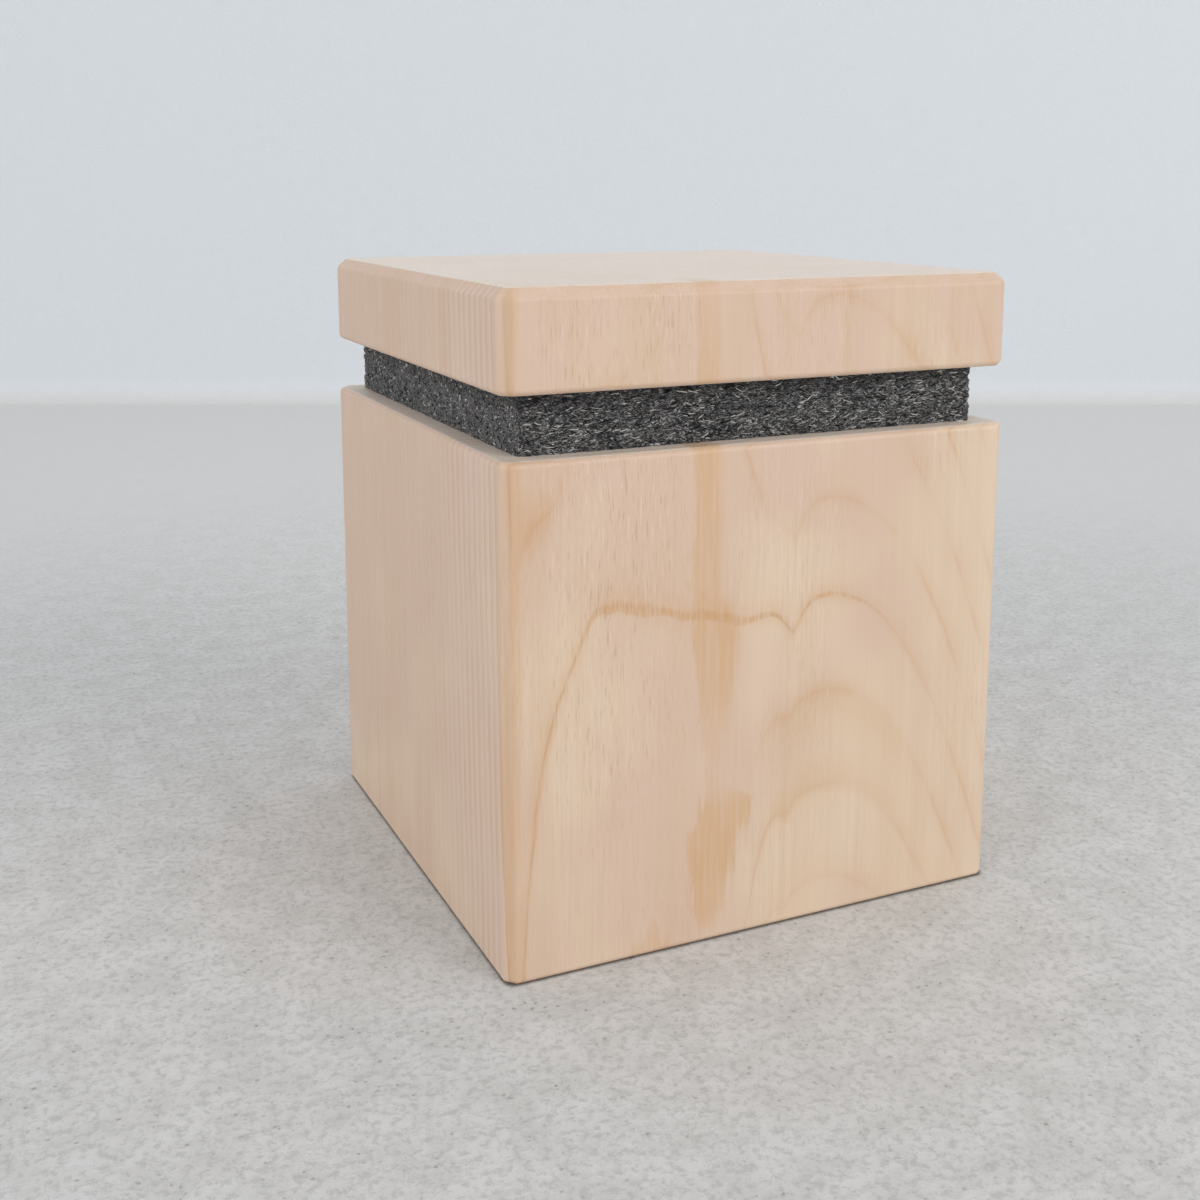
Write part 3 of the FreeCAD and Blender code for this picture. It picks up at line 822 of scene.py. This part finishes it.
def add_fibre(mesh, path, radius):
    """A thin three-sided strand along a path of points, drawn to a point at both ends."""
    rings = []
    last = len(path) - 1
    for k in range(1, last):
        along = (path[k + 1] - path[k - 1]).normalized()
        side = along.cross(Vector((0.31, 0.22, 0.93))).normalized()
        other = along.cross(side)
        ring = []
        for corner in range(STRAND_SIDES):
            angle = math.tau * corner / STRAND_SIDES
            out = side * math.cos(angle) + other * math.sin(angle)
            ring.append(mesh.verts.new(path[k] + out * radius))
        rings.append(ring)
    tips = [mesh.verts.new(path[0]), mesh.verts.new(path[last])]
    for corner in range(STRAND_SIDES):
        after = (corner + 1) % STRAND_SIDES
        mesh.faces.new((tips[0], rings[0][after], rings[0][corner]))
        mesh.faces.new((tips[1], rings[-1][corner], rings[-1][after]))
        for low, high in zip(rings, rings[1:]):
            mesh.faces.new((low[corner], low[after], high[after], high[corner]))


def side_fibre(draw, length_range, stand_off):
    """A path for a loose fibre on one of the band's cut sides.

    The felt's fibres lie mostly along X, so they are long on the front and back, and show as short
    curled ends on the left and right.
    """
    side = draw.randrange(4)
    spin = Vector((math.cos(side * math.pi / 2), math.sin(side * math.pi / 2), 0))
    cut_ends = side % 2 == 0
    length = draw.uniform(*length_range) * (CUT_END_SHARE if cut_ends else 1.0) * MM
    tilt = draw.gauss(0, 1.1 if cut_ends else 0.28)
    curl = draw.gauss(0, 1.4 if cut_ends else 0.7)
    reach = BAND_HALF - 1.2 * MM
    start = Vector((draw.uniform(-reach, reach), draw.uniform(BAND_BOTTOM + 0.2 * MM, BAND_TOP - 0.3 * MM)))
    path = []
    heading = tilt - curl / 2
    place = start - Vector((math.cos(tilt), math.sin(tilt))) * (length / 2)
    for k in range(FIBRE_STEPS + 1):
        arch = math.sin(math.pi * k / FIBRE_STEPS)
        along = max(-reach - 0.6 * MM, min(reach + 0.6 * MM, place.x))
        height = max(BAND_BOTTOM + 0.1 * MM, min(BAND_TOP - 0.1 * MM, place.y))
        flat = Vector((BAND_HALF, along, height))
        mm = turned_by(flat, spin) / MM
        flat.x += min(MOST_FIBRE_RELIEF, side_waves(mm) - 0.16 + arch * stand_off) * MM
        path.append(turned_by(flat, spin))
        place += Vector((math.cos(heading), math.sin(heading))) * (length / FIBRE_STEPS)
        heading += curl / FIBRE_STEPS
    return path


def top_fibre(draw):
    """A path for a fibre that lies on the band's top."""
    length = draw.uniform(1.5, 4.5) * MM
    heading = draw.uniform(0, math.tau)
    curl = draw.gauss(0, 1.2)
    middle = (BAND_HALF + BAND_OPENING) / 2
    spread = (BAND_HALF - BAND_OPENING) / 2 - 1.0 * MM
    across = middle + draw.uniform(-spread, spread)
    along = draw.uniform(-across, across)
    turn = draw.randrange(4) * math.pi / 2
    spin = Vector((math.cos(turn), math.sin(turn), 0))
    place = turned_by(Vector((across, along, 0)), spin)
    path = []
    limit = BAND_HALF - 0.4 * MM
    for k in range(FIBRE_STEPS + 1):
        arch = math.sin(math.pi * k / FIBRE_STEPS)
        x = max(-limit, min(limit, place.x))
        y = max(-limit, min(limit, place.y))
        path.append(Vector((x, y, BAND_TOP + (arch * 0.13 - 0.14) * MM)))
        place += Vector((math.cos(heading), math.sin(heading), 0)) * (length / FIBRE_STEPS)
        heading += curl / FIBRE_STEPS
    return path


def make_fibres(name, material, seed, sides, lengths, radius, stand_off, tops):
    """One piece with many loose fibres of the same kind."""
    draw = random.Random(seed)
    mesh = bmesh.new()
    for _ in range(sides):
        thickness = radius * draw.uniform(0.7, 1.3) * MM
        add_fibre(mesh, side_fibre(draw, lengths, draw.uniform(0.3, 1.0) * stand_off), thickness)
    for _ in range(tops):
        add_fibre(mesh, top_fibre(draw), radius * MM)
    fibres = add_mesh(name, mesh)
    fibres.data.materials.append(material)
    return fibres


SLAB_STEPS = 46
SLAB_SINK = 0.08
SLAB_RELIEF = 0.07


def make_felt_slab(name, node, round_over):
    """A thin felt sheet in place of its CAD solid, with soft edges and a slightly uneven face."""
    low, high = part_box(node)
    count = SLAB_STEPS
    mesh = bmesh.new()
    layers = []
    for top in (False, True):
        grid = []
        for i in range(count + 1):
            line = []
            for j in range(count + 1):
                x = low.x + (high.x - low.x) * i / count
                y = low.y + (high.y - low.y) * j / count
                edge = min(i, j, count - i, count - j)
                soften = round_over * MM if edge == 0 else 0.0
                uneven = (SLAB_SINK + felt_relief(Vector((x, y, 0)) / MM, (3, 3, 3), SLAB_RELIEF)) * MM
                z = high.z - uneven - soften if top else low.z + soften * 0.3
                line.append(mesh.verts.new((x, y, z)))
            grid.append(line)
        layers.append(grid)
    for grid in layers:
        for i in range(count):
            for j in range(count):
                corners = (grid[i][j], grid[i + 1][j], grid[i + 1][j + 1], grid[i][j + 1])
                mesh.faces.new(corners).smooth = True
    bottom, top = layers
    border = [(i, 0) for i in range(count)] + [(count, j) for j in range(count)]
    border += [(i, count) for i in range(count, 0, -1)] + [(0, j) for j in range(count, 0, -1)]
    for (i, j), (m, n) in zip(border, border[1:] + border[:1]):
        mesh.faces.new((bottom[i][j], bottom[m][n], top[m][n], top[i][j])).smooth = True
    bmesh.ops.recalc_face_normals(mesh, faces=mesh.faces)
    return add_mesh(name, mesh)


# ---------------------------------------------------------------- the studio's own material

FLOOR_PALE = rgb(223, 221, 219)
FLOOR_CLOUD = rgb(213, 211, 208)
FLOOR_GRIT = rgb(184, 183, 180)
FLOOR_PIT = rgb(156, 154, 150)
# The painted contact shadow round the box's foot: its tone, where its rounded corners begin and how far out
# it reaches, in millimetres.
CONTACT_SHADOW_TONE = rgb(92, 82, 72)
WALL_PAINT = rgb(224, 228, 232)
SHADOW_CORNER = 48.0
SHADOW_REACH = 2.4


def studio_material():
    """Pale fine concrete on the floor, with a painted contact shadow round the box's foot, and plain paint
    on the wall.
    """
    t = Tree("studio")
    x, y, z = t.split(t.point)
    flat = t.join(x, y, 0.0)
    near = t.rise(t.length(flat), 420.0, 120.0, 0.12, 1.0)
    cloud = t.noise(t.point, (9, 9, 9), detail=5, roughness=0.72)
    grit = t.noise(t.point, (1.7, 1.7, 1.7), detail=5, roughness=0.78)
    pit_warp = t.join(t.times(grit, 2.0), t.times(cloud, 3.0), 0.0)
    pits = t.cells(t.vector("ADD", t.point, pit_warp), (1.9, 1.9, 1.9))
    floor = t.mix(t.times(t.rise(cloud, 0.38, 0.62), near), FLOOR_PALE, FLOOR_CLOUD)
    floor = t.mix(t.times(t.rise(grit, 0.46, 0.62), t.times(near, 0.60)), floor, FLOOR_GRIT)
    pit_share = t.times(t.rise(pits, 0.22, 0.10), t.rise(cloud, 0.45, 0.60))
    floor = t.mix(t.times(pit_share, t.times(near, 0.7)), floor, FLOOR_PIT)
    # Painted shadow: the floor darkens in a rounded square just round the box's foot, standing in for its
    # contact shadow.
    past_x = t.strongest(t.minus(t.absolute(x), SHADOW_CORNER), 0.0)
    past_y = t.strongest(t.minus(t.absolute(y), SHADOW_CORNER), 0.0)
    contact_shadow_share = t.rise(t.length(t.join(past_x, past_y, 0.0)), SHADOW_REACH, 1.3, 0.0, 0.75)
    floor = t.mix(contact_shadow_share, floor, CONTACT_SHADOW_TONE)
    t.set("Base Color", t.mix(t.rise(z, 1.0, 12.0), floor, WALL_PAINT))
    t.set("Roughness", 0.9)
    t.set("Specular IOR Level", 0.2)
    t.bump(grit, 0.5, 0.7)
    return t.material


# ---------------------------------------------------------------- making it all

make_camera()
make_studio()
make_lights()

dress(block_wood(), "body_block", "lid_block")
dress(
    plain_wood("plug_wood", rgb(214, 184, 146), rgb(192, 156, 114), ring_mm=2.2, along=2),
    "plug_guide_block", "plug_core",
)
dress(plywood(), "lock_channel_plate", "lock_cover_plate", "plug_retaining_plate")
dress(
    ground_metal("pin_steel", rgb(186, 188, 192), rgb(160, 163, 168), 0.28, (0.08, 0.08, 2.0)),
    "lock_pin_front", "lock_pin_back", "lock_pin_left", "lock_pin_right", "pivot_bolt", "thrust_washer",
)
dress(
    ground_metal("screw_steel", rgb(196, 190, 174), rgb(170, 166, 150), 0.36, (0.4, 0.4, 0.1)),
    "lock_frame_screws", "plug_screws",
)
dress(
    ground_metal("brass", rgb(212, 172, 96), rgb(180, 138, 70), 0.30, (2.0, 2.0, 0.08)),
    "pivot_bush", "threaded_insert",
)
dress(nylon(), "slip_washer")

band = make_felt_band()
fibre_kinds = [
    make_fibres(
        "felt_fibres_dark", fibre_material("fibre_dark", rgb(10, 10, 11), rgb(40, 40, 42)),
        seed=3, sides=3400, lengths=(0.8, 2.8), radius=0.070, stand_off=0.30, tops=900,
    ),
    make_fibres(
        "felt_fibres_grey", fibre_material("fibre_grey", rgb(90, 90, 90), rgb(156, 154, 151)),
        seed=5, sides=5200, lengths=(0.5, 1.8), radius=0.055, stand_off=0.34, tops=1200,
    ),
    make_fibres(
        "felt_fibres_pale", fibre_material("fibre_pale", rgb(184, 182, 178), rgb(240, 238, 233)),
        seed=8, sides=820, lengths=(0.5, 2.6), radius=0.080, stand_off=0.50, tops=200,
    ),
]
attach(band, "box")
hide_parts("felt_band")
for fibres in fibre_kinds:
    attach(fibres, "box")

lining = felt_material("lining_felt", 0.45)
floor_felt = make_felt_slab("cavity_floor_lining", "cavity_floor_felt", 0.3)
floor_felt.data.materials.append(lining)
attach(floor_felt, "box")
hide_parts("cavity_floor_felt")

plug_felt = make_felt_slab("plug_lining", "plug_lining_felt", 0.3)
plug_felt.data.materials.append(lining)
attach(plug_felt, "plug")
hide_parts("plug_lining_felt")
